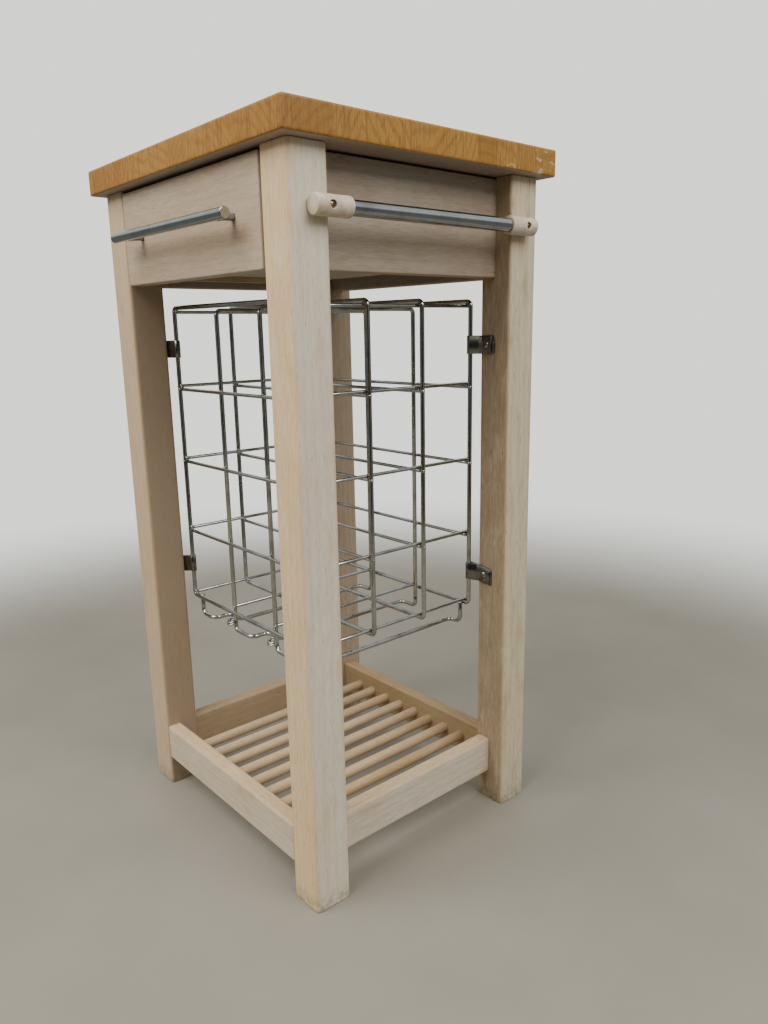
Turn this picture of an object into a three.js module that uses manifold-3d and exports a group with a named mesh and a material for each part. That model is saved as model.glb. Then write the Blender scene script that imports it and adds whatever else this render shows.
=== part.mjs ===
// A butcher block table: a glued-stave top on four square legs, with a drawer under the top,
// a towel rail on the right side, a wire rack for twelve bottles and a slatted shelf near the floor.
// Millimetres, +Z up, +X to the right, the drawer faces -Y.
import * as THREE from 'three';
import { mergeVertices } from 'three/addons/utils/BufferGeometryUtils.js';
import Module from 'manifold-3d';

const wasm = await Module();
wasm.setup();

// ---------------------------------------------------------------- driving dimensions
// Clearances
const seatGap = 0.3; // between two pieces that touch
const slideGap = 1.0; // around the drawer's grooves
const drawerSideGap = 2.0; // beside the drawer front

// Table
const tableWidth = 450;
const tableDepth = 400;
const tableHeight = 870;
const topThickness = 31;
const topEdgeRound = 3;
const topOverhangSide = 16;
const topOverhangFront = 15;
const legSize = 48;
const legEdgeRound = 4.5;
const footChamfer = 1.5;

// Rails and aprons
const railThickness = 20;
const railEdgeRound = 4;
const sideRecess = 24; // side rails and aprons, behind the legs' outer faces
const backRecess = 16; // back rail and apron, in front of the legs' back faces
const frontRailRecess = 1.5;
const shelfRailBottom = 42;
const shelfRailHeight = 52;
const apronHeight = 114.5;
const apronTopGap = 2.5; // shadow gap under the top
const tenonLength = 14;
const tenonThickness = 10;
const tenonShoulder = 8; // above and below each tenon

// Shelf dowels
const dowelCount = 8;
const dowelDiameter = 14;
const dowelEdgeInset = 42.9; // from the leg's inner face to the first dowel
const dowelSocketDepth = 10;

// Drawer
const drawerFrontThickness = 20;
const drawerFrontHeight = 112.5;
const drawerTopGap = 4;
const drawerEdgeRound = 3;
const drawerSideThickness = 13;
const drawerBackThickness = 12;
const drawerBackDrop = 6; // the back's top edge, below the sides'
const drawerSideInset = 12; // from the apron's inner face to the drawer side
const drawerBoxLift = 8; // drawer sides start this far above the front's lower edge
const drawerBoxHeight = 84;
const drawerBackClearance = 24; // from the drawer's back to the back apron
const drawerBottomThickness = 4;
const drawerBottomLift = 7; // underside of the bottom above the sides' lower edge
const bottomGrooveDepth = 5;
const runnerHeight = 14;
const runnerLift = 42; // underside of the runner above the drawer sides' lower edge
const runnerGrooveDepth = 6;
const runnerEndGap = 1;
const runnerGrooveStop = 30; // drawer side left whole in front of the groove
const runnerStopGap = 11; // from the groove's closed end to the runner

// Drawer handle
const handleLength = 268;
const handleDiameter = 12;
const handlePostDiameter = 8;
const handlePostSpacing = 217;
const handleStandOff = 24.5; // drawer front to bar centre
const handleLift = 55.5; // bar centre above the drawer front's lower edge

// Towel rail
const towelBarDiameter = 16;
const towelBarWall = 1;
const towelSocketDepth = 14;
const towelHolderWall = 2.5; // wood round the bar's socket
const towelHolderLength = 45;
const towelHolderRound = 4;
const towelHolderFlat = 1; // depth of the flat that seats on the leg
const towelEndInset = 20; // holder's outer end, inside the leg's outer face
const towelRailDrop = 59.5; // below the top's underside
const towelScrewInset = 18.5; // screw hole from the holder's outer end
const screwShankDiameter = 4.5;
const screwHeadDiameter = 9;
const screwHeadDepth = 3;

// Bottle rack
const rackSideGap = 9.7; // from a leg's inner side to the corner post's centre
const rackFaceGap = 8.2; // from a leg's inner face, where the clip sits, to the post's centre
const rackWire = 6;
const crossWire = 4.5;
const rackBend = 6;
const lowerWireBend = 9;
const rackCellHeights = [97, 100, 100, 108]; // from the lowest row up
const rackTopGap = 27; // under the aprons
const runnerWireDrop = 28; // lower wires below the bottom level
const runnerFirstJog = 0.4; // shares of the cell's width
const runnerSecondJog = 0.71;
const runnerJogDepth = 26;
const runnerWireInset = 10; // the outermost drops, inside the corner posts

// Rack clips
const clipHeight = 24;
const clipThickness = 2;
const clipWall = 1.2;
const clipLength = 35; // post centre to the far end of the tail
const clipScrewDistance = 21; // post centre to the screw
const clipLowerLift = 48; // above the rack's lowest wires
const clipUpperDrop = 54; // below its highest

// Facets
const roundSides = 24;
const wireSides = 8;
const bendSteps = 4;
const edgeSteps = 3;

// ---------------------------------------------------------------- worked-out places
const topUnderside = tableHeight - topThickness;
const legOuterX = tableWidth / 2 - topOverhangSide;
const legOuterY = tableDepth / 2 - topOverhangFront;
const legInnerX = legOuterX - legSize;
const legInnerY = legOuterY - legSize;
const legTop = topUnderside - seatGap;
const shelfRailTop = shelfRailBottom + shelfRailHeight;
const apronTop = topUnderside - apronTopGap;
const apronBottom = apronTop - apronHeight;
const sideOuterX = legOuterX - sideRecess;
const sideInnerX = sideOuterX - railThickness;
const backOuterY = legOuterY - backRecess;
const backInnerY = backOuterY - railThickness;
const frontRailOuterY = -(legOuterY - frontRailRecess);
const frontRailInnerY = frontRailOuterY + railThickness;

// ---------------------------------------------------------------- solids
function solidOf(geometry) {
  const bare = geometry.index ? geometry : mergeVertices(geometry);
  bare.deleteAttribute('normal');
  bare.deleteAttribute('uv');
  const merged = mergeVertices(bare, 1e-4);
  const vertProperties = new Float32Array(merged.attributes.position.array);
  const triVerts = new Uint32Array(merged.index.array);
  return new wasm.Manifold(new wasm.Mesh({ numProp: 3, vertProperties, triVerts }));
}

function geometryOf(solid) {
  const mesh = solid.getMesh();
  const geometry = new THREE.BufferGeometry();
  const points = new Float32Array(mesh.vertProperties);
  geometry.setAttribute('position', new THREE.BufferAttribute(points, 3));
  geometry.setIndex(new THREE.BufferAttribute(new Uint32Array(mesh.triVerts), 1));
  return geometry;
}

// A plain block between two corners.
function block(low, high) {
  const size = high.map((value, axis) => value - low[axis]);
  const geometry = new THREE.BoxGeometry(...size);
  geometry.translate(...low.map((value, axis) => value + size[axis] / 2));
  return solidOf(geometry);
}

// A rectangle with round corners, centred on the origin.
function roundedRectangle(width, height, radius) {
  const x = width / 2;
  const y = height / 2;
  const r = Math.min(radius, x * 0.9, y * 0.9);
  const points = [];
  [[1, 1], [-1, 1], [-1, -1], [1, -1]].forEach(([sideX, sideY], corner) => {
    for (let step = 0; step <= edgeSteps; step += 1) {
      const angle = (Math.PI / 2) * (corner + step / edgeSteps);
      const px = sideX * (x - r) + r * Math.cos(angle);
      const py = sideY * (y - r) + r * Math.sin(angle);
      points.push(new THREE.Vector2(px, py));
    }
  });
  return new THREE.Shape(points);
}

// A board between two corners: its section, across the named axis, has round corners,
// and its ends are eased by the bevel.
function board(low, high, along, radius, bevel = 0) {
  const size = high.map((value, axis) => value - low[axis]);
  const [u, v] = { x: [1, 2], y: [2, 0], z: [0, 1] }[along];
  const length = size['xyz'.indexOf(along)];
  const section = roundedRectangle(size[u], size[v], Math.max(radius, bevel + 0.5));
  const geometry = new THREE.ExtrudeGeometry(section, {
    depth: length - 2 * bevel,
    bevelEnabled: bevel > 0,
    bevelThickness: bevel,
    bevelSize: bevel,
    bevelOffset: -bevel,
    bevelSegments: edgeSteps,
  });
  geometry.translate(0, 0, bevel - length / 2);
  const turn = new THREE.Matrix4();
  if (along === 'x') turn.set(0, 0, 1, 0, 1, 0, 0, 0, 0, 1, 0, 0, 0, 0, 0, 1);
  if (along === 'y') turn.set(0, 1, 0, 0, 0, 0, 1, 0, 1, 0, 0, 0, 0, 0, 0, 1);
  geometry.applyMatrix4(turn);
  geometry.translate(...low.map((value, axis) => value + size[axis] / 2));
  return solidOf(geometry);
}

// A round bar from one point along an axis; inner gives a tube's bore.
function bar(start, along, length, diameter, sides = roundSides) {
  const geometry = new THREE.CylinderGeometry(diameter / 2, diameter / 2, length, sides);
  geometry.translate(0, length / 2, 0);
  if (along === 'x') geometry.rotateZ(-Math.PI / 2);
  if (along === 'z') geometry.rotateX(Math.PI / 2);
  geometry.translate(...start);
  return solidOf(geometry);
}

// A wire's centre line: straight runs joined by round bends. Sampled only where it bends.
class WirePath extends THREE.Curve {
  constructor(corners, bend, closed = false) {
    super();
    this.knots = [];
    const count = corners.length;
    corners.forEach((corner, i) => {
      const point = new THREE.Vector3(...corner);
      if (!closed && (i === 0 || i === count - 1)) {
        this.knots.push(point);
        return;
      }
      const before = new THREE.Vector3(...corners[(i + count - 1) % count]).sub(point);
      const after = new THREE.Vector3(...corners[(i + 1) % count]).sub(point);
      const reach = Math.min(bend, before.length() / 2.2, after.length() / 2.2);
      const start = before.setLength(reach).add(point);
      const end = after.setLength(reach).add(point);
      const centre = start.clone().add(end).sub(point);
      for (let step = 0; step <= bendSteps; step += 1) {
        const angle = (Math.PI / 2) * (step / bendSteps);
        const out = start.clone().sub(centre).multiplyScalar(Math.cos(angle));
        const over = end.clone().sub(centre).multiplyScalar(Math.sin(angle));
        this.knots.push(centre.clone().add(out).add(over));
      }
    });
    if (closed) this.knots.push(this.knots[0].clone());
    this.loop = closed;
  }

  get segments() {
    return this.knots.length - 1;
  }

  getPoint(t) {
    const place = Math.min(Math.max(t, 0), 1) * this.segments;
    const index = Math.min(Math.floor(place), this.segments - 1);
    return this.knots[index].clone().lerp(this.knots[index + 1], place - index);
  }

  getTangent(t) {
    const place = Math.round(t * this.segments);
    const last = this.segments;
    const here = (i) => this.knots[i].clone();
    const ahead = place < last ? here(place + 1).sub(here(place)).normalize() : null;
    const behind = place > 0 ? here(place).sub(here(place - 1)).normalize() : null;
    const wrapAhead = this.loop ? here(1).sub(here(0)).normalize() : behind;
    const wrapBehind = this.loop ? here(last).sub(here(last - 1)).normalize() : ahead;
    return (ahead ?? wrapAhead).clone().add(behind ?? wrapBehind).normalize();
  }

  getUtoTmapping(u) {
    return u;
  }

  getSpacedPoints(divisions) {
    return this.getPoints(divisions);
  }
}

// A bent round wire through the corner points.
function wire(corners, diameter, bend, closed = false) {
  const path = new WirePath(corners, bend, closed);
  const section = new THREE.Shape();
  section.absarc(0, 0, diameter / 2, 0, Math.PI * 2);
  const geometry = new THREE.ExtrudeGeometry(section, {
    steps: path.segments,
    curveSegments: wireSides / 2,
    extrudePath: path,
  });
  if (!closed) return solidOf(geometry);
  // A closed loop keeps only its side faces: the two end faces lie on each other.
  const sides = geometry.groups[1];
  const end = sides.start + sides.count;
  const points = geometry.attributes.position.array.slice(sides.start * 3, end * 3);
  const loop = new THREE.BufferGeometry();
  loop.setAttribute('position', new THREE.BufferAttribute(points, 3));
  return solidOf(loop);
}

function join(...solids) {
  return solids.reduce((whole, next) => whole.add(next));
}

function cut(solid, ...tools) {
  return tools.reduce((left, tool) => left.subtract(tool), solid);
}

// ---------------------------------------------------------------- finishes
const finishes = {
  butcher_block: { color: 0xc98f45, roughness: 0.5, metalness: 0 },
  limed_leg: { color: 0xc9b9a0, roughness: 0.65, metalness: 0 },
  limed_board: { color: 0xb8aca0, roughness: 0.65, metalness: 0 },
  shelf_wood: { color: 0xccb594, roughness: 0.65, metalness: 0 },
  holder_wood: { color: 0xe4dccd, roughness: 0.5, metalness: 0 },
  drawer_box_wood: { color: 0xb39877, roughness: 0.7, metalness: 0 },
  chrome: { color: 0xc4c6c8, roughness: 0.15, metalness: 1 },
  rack_chrome: { color: 0x9c9c98, roughness: 0.25, metalness: 1 },
  zinc: { color: 0x8b8b85, roughness: 0.4, metalness: 1 },
};

const table = new THREE.Group();

function place(name, solid, finish) {
  const mesh = new THREE.Mesh(geometryOf(solid), new THREE.MeshStandardMaterial(finishes[finish]));
  mesh.name = name;
  table.add(mesh);
}

// ---------------------------------------------------------------- rails with tenons
// Every rail runs between two legs and ends in a tenon that sits in a mortise in the leg.
const tenonReach = { x: legInnerX + tenonLength, y: legInnerY + tenonLength };

function tenonBlock(rail, clearance) {
  const across = rail.along === 'x' ? 1 : 0;
  const run = rail.along === 'x' ? 0 : 1;
  const middle = (rail.low[across] + rail.high[across]) / 2;
  const thickness = Math.min(tenonThickness, railThickness * 0.6);
  const low = [0, 0, rail.low[2] + tenonShoulder - clearance];
  const high = [0, 0, rail.high[2] - tenonShoulder + clearance];
  low[across] = middle - thickness / 2 - clearance;
  high[across] = middle + thickness / 2 + clearance;
  low[run] = -tenonReach[rail.along] - clearance;
  high[run] = tenonReach[rail.along] + clearance;
  return block(low, high);
}

function railBetween(name, along, faceLow, faceHigh, bottom, top) {
  const reach = (along === 'x' ? legInnerX : legInnerY) - seatGap;
  const low = along === 'x' ? [-reach, faceLow, bottom] : [faceLow, -reach, bottom];
  const high = along === 'x' ? [reach, faceHigh, top] : [faceHigh, reach, top];
  return { name, along, low, high };
}

const shelfHeights = [shelfRailBottom, shelfRailTop];
const apronHeights = [apronBottom, apronTop];
const rails = [
  railBetween('shelf_rail_front', 'x', frontRailOuterY, frontRailInnerY, ...shelfHeights),
  railBetween('shelf_rail_back', 'x', backInnerY, backOuterY, ...shelfHeights),
  railBetween('shelf_rail_right', 'y', sideInnerX, sideOuterX, ...shelfHeights),
  railBetween('shelf_rail_left', 'y', -sideOuterX, -sideInnerX, ...shelfHeights),
  railBetween('apron_back', 'x', backInnerY, backOuterY, ...apronHeights),
  railBetween('apron_right', 'y', sideInnerX, sideOuterX, ...apronHeights),
  railBetween('apron_left', 'y', -sideOuterX, -sideInnerX, ...apronHeights),
];
// Tenons from neighbouring sides of one leg stay clear of each other, whatever the sizes.
const tenonKeep = (rail) => {
  const across = rail.along === 'x' ? 0 : 1;
  const half = rail.along === 'x' ? sideOuterX - railThickness / 2 : backOuterY - railThickness / 2;
  const limit = half - Math.min(tenonThickness, railThickness * 0.6) / 2 - 2 * seatGap - 1;
  const low = [-1e4, -1e4, -1e4];
  const high = [1e4, 1e4, 1e4];
  low[across] = -limit;
  high[across] = limit;
  return [low, high];
};

function railSolid(rail) {
  const body = board(rail.low, rail.high, rail.along, railEdgeRound);
  const tenon = tenonBlock(rail, 0).intersect(block(...tenonKeep(rail)));
  return join(body, tenon);
}

// ---------------------------------------------------------------- top and legs
place(
  'block_top',
  board(
    [-tableWidth / 2, -tableDepth / 2, topUnderside],
    [tableWidth / 2, tableDepth / 2, tableHeight],
    'z',
    topEdgeRound,
    topEdgeRound,
  ),
  'butcher_block',
);

const mortises = rails.map((rail) => {
  const [low, high] = tenonKeep(rail);
  const room = block(low.map((value) => value - seatGap), high.map((value) => value + seatGap));
  return tenonBlock(rail, seatGap).intersect(room);
});
for (const [rowName, sideY] of [['front', -1], ['back', 1]]) {
  for (const [columnName, sideX] of [['left', -1], ['right', 1]]) {
    const xs = [sideX * legInnerX, sideX * legOuterX].sort((a, b) => a - b);
    const ys = [sideY * legInnerY, sideY * legOuterY].sort((a, b) => a - b);
    const leg = board([xs[0], ys[0], 0], [xs[1], ys[1], legTop], 'z', legEdgeRound, footChamfer);
    place(`leg_${rowName}_${columnName}`, cut(leg, ...mortises), 'limed_leg');
  }
}

// ---------------------------------------------------------------- shelf
const dowelHeight = (shelfRailBottom + shelfRailTop) / 2;
const dowelStart = frontRailInnerY - dowelSocketDepth;
const dowelEnd = backInnerY + dowelSocketDepth;
const dowelPitch = (2 * (legInnerX - dowelEdgeInset)) / (dowelCount - 1);
const dowelPlaces = Array.from({ length: dowelCount }, (_, i) => (i - (dowelCount - 1) / 2) * dowelPitch);

function dowel(x, clearance) {
  const start = dowelStart - clearance;
  const length = dowelEnd + clearance - start;
  return bar([x, start, dowelHeight], 'y', length, dowelDiameter + 2 * clearance, 16);
}

const sockets = dowelPlaces.map((x) => dowel(x, seatGap));
for (const rail of rails) {
  const holds = rail.name === 'shelf_rail_front' || rail.name === 'shelf_rail_back';
  const solid = railSolid(rail);
  place(rail.name, holds ? cut(solid, ...sockets) : solid, 'limed_board');
}
dowelPlaces.forEach((x, i) => place(`shelf_dowel_${i + 1}`, dowel(x, 0), 'shelf_wood'));

// ---------------------------------------------------------------- drawer
const drawerFrontOuterY = -legOuterY;
const drawerFrontInnerY = drawerFrontOuterY + drawerFrontThickness;
const drawerFrontHalf = legInnerX - drawerSideGap;
const drawerFrontTop = topUnderside - drawerTopGap;
const drawerFrontBottom = drawerFrontTop - drawerFrontHeight;
const drawerBoxHalf = Math.min(sideInnerX - drawerSideInset, legInnerX - 2 * drawerSideGap);
const boxBottom = drawerFrontBottom + drawerBoxLift;
const boxTop = boxBottom + drawerBoxHeight;
const boxBackY = Math.min(backInnerY - drawerBackClearance, legInnerY - drawerSideGap);
const panelLow = boxBottom + drawerBottomLift;
const panelHigh = panelLow + drawerBottomThickness;
const panelHalf = drawerBoxHalf - drawerSideThickness + bottomGrooveDepth - seatGap;
const panelGroove = block(
  [-panelHalf - seatGap, drawerFrontInnerY - bottomGrooveDepth, panelLow - seatGap],
  [panelHalf + seatGap, boxBackY + 1, panelHigh + seatGap],
);
const runnerLow = boxBottom + runnerLift;
const runnerHigh = runnerLow + runnerHeight;
const grooveStart = drawerFrontInnerY + runnerGrooveStop;

place(
  'drawer_front',
  cut(
    board(
      [-drawerFrontHalf, drawerFrontOuterY, drawerFrontBottom],
      [drawerFrontHalf, drawerFrontInnerY, drawerFrontTop],
      'y',
      drawerEdgeRound,
      drawerEdgeRound,
    ),
    panelGroove,
  ),
  'limed_board',
);
for (const [name, side] of [['left', -1], ['right', 1]]) {
  const spanX = (near, far) => [side * near, side * far].sort((a, b) => a - b);
  const wall = spanX(drawerBoxHalf - drawerSideThickness, drawerBoxHalf);
  const groove = spanX(drawerBoxHalf - runnerGrooveDepth, drawerBoxHalf + 1);
  const strip = spanX(drawerBoxHalf - runnerGrooveDepth + slideGap, sideInnerX - seatGap);
  const sideBoard = block(
    [wall[0], drawerFrontInnerY + seatGap, boxBottom],
    [wall[1], boxBackY, boxTop],
  );
  const runnerGroove = block(
    [groove[0], grooveStart, runnerLow - slideGap],
    [groove[1], boxBackY + 1, runnerHigh + slideGap],
  );
  place(`drawer_side_${name}`, cut(sideBoard, panelGroove, runnerGroove), 'drawer_box_wood');
  place(
    `drawer_runner_${name}`,
    block(
      [strip[0], grooveStart + runnerStopGap, runnerLow],
      [strip[1], legInnerY - runnerEndGap, runnerHigh],
    ),
    'drawer_box_wood',
  );
}
const drawerBackHalf = drawerBoxHalf - drawerSideThickness - seatGap;
place(
  'drawer_back',
  block(
    [-drawerBackHalf, boxBackY - drawerBackThickness, panelHigh + seatGap],
    [drawerBackHalf, boxBackY, boxTop - drawerBackDrop],
  ),
  'drawer_box_wood',
);
place(
  'drawer_bottom',
  block(
    [-panelHalf, drawerFrontInnerY - bottomGrooveDepth + seatGap, panelLow],
    [panelHalf, boxBackY, panelHigh],
  ),
  'drawer_box_wood',
);

// ---------------------------------------------------------------- drawer handle
const handleY = drawerFrontOuterY - handleStandOff;
const handleHeight = drawerFrontBottom + handleLift;
const postLength = handleStandOff - handleDiameter / 2 - 2 * seatGap;
place(
  'handle_bar',
  bar([-handleLength / 2, handleY, handleHeight], 'x', handleLength, handleDiameter),
  'chrome',
);
for (const [name, side] of [['left', -1], ['right', 1]]) {
  const start = [side * handlePostSpacing / 2, drawerFrontOuterY - seatGap - postLength, handleHeight];
  place(`handle_post_${name}`, bar(start, 'y', postLength, handlePostDiameter, 16), 'chrome');
}

// ---------------------------------------------------------------- towel rail
const holderRadius = towelBarDiameter / 2 + towelHolderWall;
const towelRailHeight = topUnderside - towelRailDrop;
const towelHolderEnd = legOuterY - towelEndInset;
const towelX = legOuterX + seatGap + holderRadius - towelHolderFlat;
const holderInnerEnd = towelHolderEnd - towelHolderLength;
const barReach = holderInnerEnd + towelSocketDepth;

function holder(side) {
  const round = Math.min(towelHolderRound, holderRadius * 0.9);
  const profile = [
    new THREE.Vector2(0, 0),
    new THREE.Vector2(holderRadius - 1, 0),
    new THREE.Vector2(holderRadius, 1),
  ];
  for (let step = 0; step <= 5; step += 1) {
    const angle = (Math.PI / 2) * (step / 5);
    const across = holderRadius - round + round * Math.cos(angle);
    profile.push(new THREE.Vector2(across, towelHolderLength - round + round * Math.sin(angle)));
  }
  profile.push(new THREE.Vector2(0, towelHolderLength));
  const geometry = new THREE.LatheGeometry(profile, roundSides);
  if (side < 0) geometry.rotateX(Math.PI);
  geometry.translate(towelX, side * holderInnerEnd, towelRailHeight);
  const flatCut = block(
    [legOuterX - holderRadius, -1e3, towelRailHeight - 50],
    [legOuterX + seatGap, 1e3, towelRailHeight + 50],
  );
  const socket = bar(
    [towelX, side * holderInnerEnd - (side < 0 ? towelSocketDepth + seatGap : 1), towelRailHeight],
    'y',
    towelSocketDepth + seatGap + 1,
    towelBarDiameter + 2 * seatGap,
  );
  const screwY = side * (towelHolderEnd - towelScrewInset);
  const shankStart = [legOuterX - 1, screwY, towelRailHeight];
  const shank = bar(shankStart, 'x', 3 * holderRadius, screwShankDiameter, 12);
  const sink = bar(
    [towelX + holderRadius - screwHeadDepth, screwY, towelRailHeight],
    'x',
    holderRadius,
    screwHeadDiameter,
    16,
  );
  return cut(solidOf(geometry), flatCut, socket, shank, sink);
}

place('towel_holder_front', holder(-1), 'holder_wood');
place('towel_holder_back', holder(1), 'holder_wood');
const towelBore = towelBarDiameter - 2 * towelBarWall;
place(
  'towel_bar',
  cut(
    bar([towelX, -barReach, towelRailHeight], 'y', 2 * barReach, towelBarDiameter),
    bar([towelX, -barReach - 1, towelRailHeight], 'y', 2 * barReach + 2, towelBore),
  ),
  'chrome',
);

// ---------------------------------------------------------------- bottle rack
// Four closed frames stand across the rack; two dividers and three lower wires run front to back.
const rackHalfWidth = legInnerX - rackSideGap;
const rackHalfDepth = legInnerY - rackFaceGap;
const rackTop = apronBottom - rackTopGap;
const rackBottom = rackTop - rackCellHeights.reduce((sum, height) => sum + height);
const rackLevels = rackCellHeights.map((_, row) => {
  return rackCellHeights.slice(0, row).reduce((z, height) => z + height, rackBottom);
});
const rackX = [-1, -1 / 3, 1 / 3, 1].map((share) => share * rackHalfWidth);
const rackY = [-1, -1 / 3, 1 / 3, 1].map((share) => share * rackHalfDepth);
const cellWidth = rackX[1] - rackX[0];
const weldStep = rackWire + seatGap; // centre distance of two rack wires that touch
const crossStep = (rackWire + crossWire) / 2 + seatGap;
const dividerY = rackHalfDepth - weldStep;
const lowerWireZ = rackBottom - runnerWireDrop;
const splitZ = (rackBottom + lowerWireZ) / 2;

rackY.forEach((y, i) => {
  const corners = [
    [-rackHalfWidth, y, rackBottom],
    [rackHalfWidth, y, rackBottom],
    [rackHalfWidth, y, rackTop],
    [-rackHalfWidth, y, rackTop],
  ];
  const rungs = rackLevels.slice(1).map((z) => {
    return bar([-rackHalfWidth, y, z], 'x', 2 * rackHalfWidth, crossWire, wireSides);
  });
  place(`rack_frame_${i + 1}`, join(wire(corners, rackWire, rackBend, true), ...rungs), 'rack_chrome');
});

for (const [name, x] of [['left', rackX[1]], ['right', rackX[2]]]) {
  const top = rackTop - weldStep;
  const loop = wire(
    [
      [x, -dividerY, splitZ + seatGap / 2],
      [x, -dividerY, top],
      [x, dividerY, top],
      [x, dividerY, splitZ + seatGap / 2],
    ],
    rackWire,
    rackBend,
  );
  const floorWire = bar([x, -dividerY, rackBottom + crossStep], 'y', 2 * dividerY, crossWire, wireSides);
  place(`rack_divider_${name}`, join(loop, floorWire), 'rack_chrome');
}

for (let cell = 0; cell < 3; cell += 1) {
  const firstX = cell === 0 ? rackX[0] + runnerWireInset : rackX[cell];
  const lastX = cell === 2 ? rackX[3] - runnerWireInset : rackX[cell + 1];
  const startZ = cell === 0 ? rackBottom + rackWire / 2 : splitZ - seatGap / 2;
  const endZ = cell === 2 ? rackBottom + rackWire / 2 : splitZ - seatGap / 2;
  const firstJog = rackX[cell] + runnerFirstJog * cellWidth;
  const secondJog = rackX[cell] + runnerSecondJog * cellWidth;
  const corners = [
    [firstX, -dividerY, startZ],
    [firstX, -dividerY, lowerWireZ],
    [firstJog, -dividerY, lowerWireZ],
    [firstJog, -dividerY + runnerJogDepth, lowerWireZ],
    [secondJog, -dividerY + runnerJogDepth, lowerWireZ],
    [secondJog, dividerY, lowerWireZ],
    [lastX, dividerY, lowerWireZ],
    [lastX, dividerY, endZ],
  ];
  place(`rack_lower_wire_${cell + 1}`, wire(corners, rackWire, lowerWireBend), 'rack_chrome');
}

// Straight wires along both sides, inside the posts: the lowest and highest lie in the frames'
// bends, the others on the rungs.
const cornerStep = rackBend - Math.max(rackBend - crossStep, 0) * Math.SQRT1_2;
const sideWireReach = rackHalfDepth + crossWire / 2;
const sideWires = [
  [rackHalfWidth - cornerStep, rackBottom + cornerStep],
  ...rackLevels.slice(1).map((z) => [rackHalfWidth - crossStep, z + crossWire + seatGap]),
  [rackHalfWidth - cornerStep, rackTop - cornerStep],
];
for (const [name, side] of [['left', -1], ['right', 1]]) {
  sideWires.forEach(([x, z], i) => {
    const solid = bar([side * x, -sideWireReach, z], 'y', 2 * sideWireReach, crossWire, wireSides);
    place(`rack_side_wire_${name}_${i + 1}`, solid, 'rack_chrome');
  });
}

// ---------------------------------------------------------------- rack clips
// A strap folded round a corner post, with its doubled tail screwed to the leg.
function clip(sideX, sideY, z) {
  const faceY = rackFaceGap - seatGap; // the leg's face, from the post's centre
  const eyeInner = rackWire / 2 + seatGap;
  const eyeOuter = eyeInner + clipWall;
  const tailStart = rackSideGap + legEdgeRound;
  const outline = new THREE.Shape();
  outline.moveTo(eyeOuter * 0.6, eyeOuter * 0.35);
  outline.lineTo(tailStart, faceY - clipThickness);
  outline.lineTo(clipLength, faceY - clipThickness);
  outline.lineTo(clipLength, faceY);
  outline.lineTo(tailStart - 2, faceY);
  outline.lineTo(-eyeOuter * 0.2, eyeOuter * 0.95);
  const tail = new THREE.ExtrudeGeometry(outline, { depth: clipHeight, bevelEnabled: false });
  const eye = bar([0, 0, 0], 'z', clipHeight, 2 * eyeOuter, 16);
  const postHole = bar([0, 0, -1], 'z', clipHeight + 2, 2 * eyeInner, 16);
  const screwHole = bar([clipScrewDistance, -20, clipHeight / 2], 'y', 60, screwShankDiameter, 12);
  const solid = cut(join(solidOf(tail), eye), postHole, screwHole);
  const turned = solid.translate([0, 0, -clipHeight / 2]);
  const mirroredX = sideX < 0 ? turned.mirror([1, 0, 0]) : turned;
  const mirrored = sideY < 0 ? mirroredX.mirror([0, 1, 0]) : mirroredX;
  return mirrored.translate([sideX * rackHalfWidth, sideY * rackHalfDepth, z]);
}

const clipLevels = { lower: rackBottom + clipLowerLift, upper: rackTop - clipUpperDrop };
for (const [rowName, sideY] of [['front', -1], ['back', 1]]) {
  for (const [columnName, sideX] of [['left', -1], ['right', 1]]) {
    Object.entries(clipLevels).forEach(([level, z]) => {
      place(`rack_clip_${rowName}_${columnName}_${level}`, clip(sideX, sideY, z), 'zinc');
    });
  }
}

// ---------------------------------------------------------------- origin
// The origin is on the floor, under the middle of the whole object, handle and towel rail included.
const reachRight = towelX + holderRadius;
const reachFront = -handleY + handleDiameter / 2;
table.position.x = -(reachRight - tableWidth / 2) / 2;
table.position.y = (reachFront - tableDepth / 2) / 2;
table.updateMatrixWorld(true);

export default table;
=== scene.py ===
"""Looks of the butcher block table: boards, turned wood, bent wire, clips, screws and their finishes.

Metres, +Z up, +X towards the towel rail, the drawer faces -Y. Places and main sizes come from the
frame's own nodes, and small sizes are named here. What is added is what the frame leaves plain: eased
and worn edges, round wire, weld beads, folded clips, screws, grain and plating.
"""

import math

import bpy
import numpy as np
from mathutils import Matrix, Vector


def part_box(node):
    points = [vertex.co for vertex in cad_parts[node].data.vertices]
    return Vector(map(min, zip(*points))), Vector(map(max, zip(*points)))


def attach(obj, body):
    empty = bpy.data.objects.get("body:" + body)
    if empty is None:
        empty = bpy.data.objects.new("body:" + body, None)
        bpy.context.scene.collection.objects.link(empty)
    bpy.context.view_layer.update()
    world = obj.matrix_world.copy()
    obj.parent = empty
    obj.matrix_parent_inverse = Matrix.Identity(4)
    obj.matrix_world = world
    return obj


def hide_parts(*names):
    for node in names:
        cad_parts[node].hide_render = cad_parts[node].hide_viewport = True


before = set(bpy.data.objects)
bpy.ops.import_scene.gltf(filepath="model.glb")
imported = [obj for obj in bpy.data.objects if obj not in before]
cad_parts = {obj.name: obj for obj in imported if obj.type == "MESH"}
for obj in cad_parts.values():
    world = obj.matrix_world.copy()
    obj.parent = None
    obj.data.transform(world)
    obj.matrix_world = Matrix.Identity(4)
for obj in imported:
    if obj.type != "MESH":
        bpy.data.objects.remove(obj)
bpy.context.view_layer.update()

MM = 0.001
TABLE = "table"
DRAWER = "drawer"
X, Y, Z = 0, 1, 2
random_tones = np.random.default_rng(41)

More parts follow.
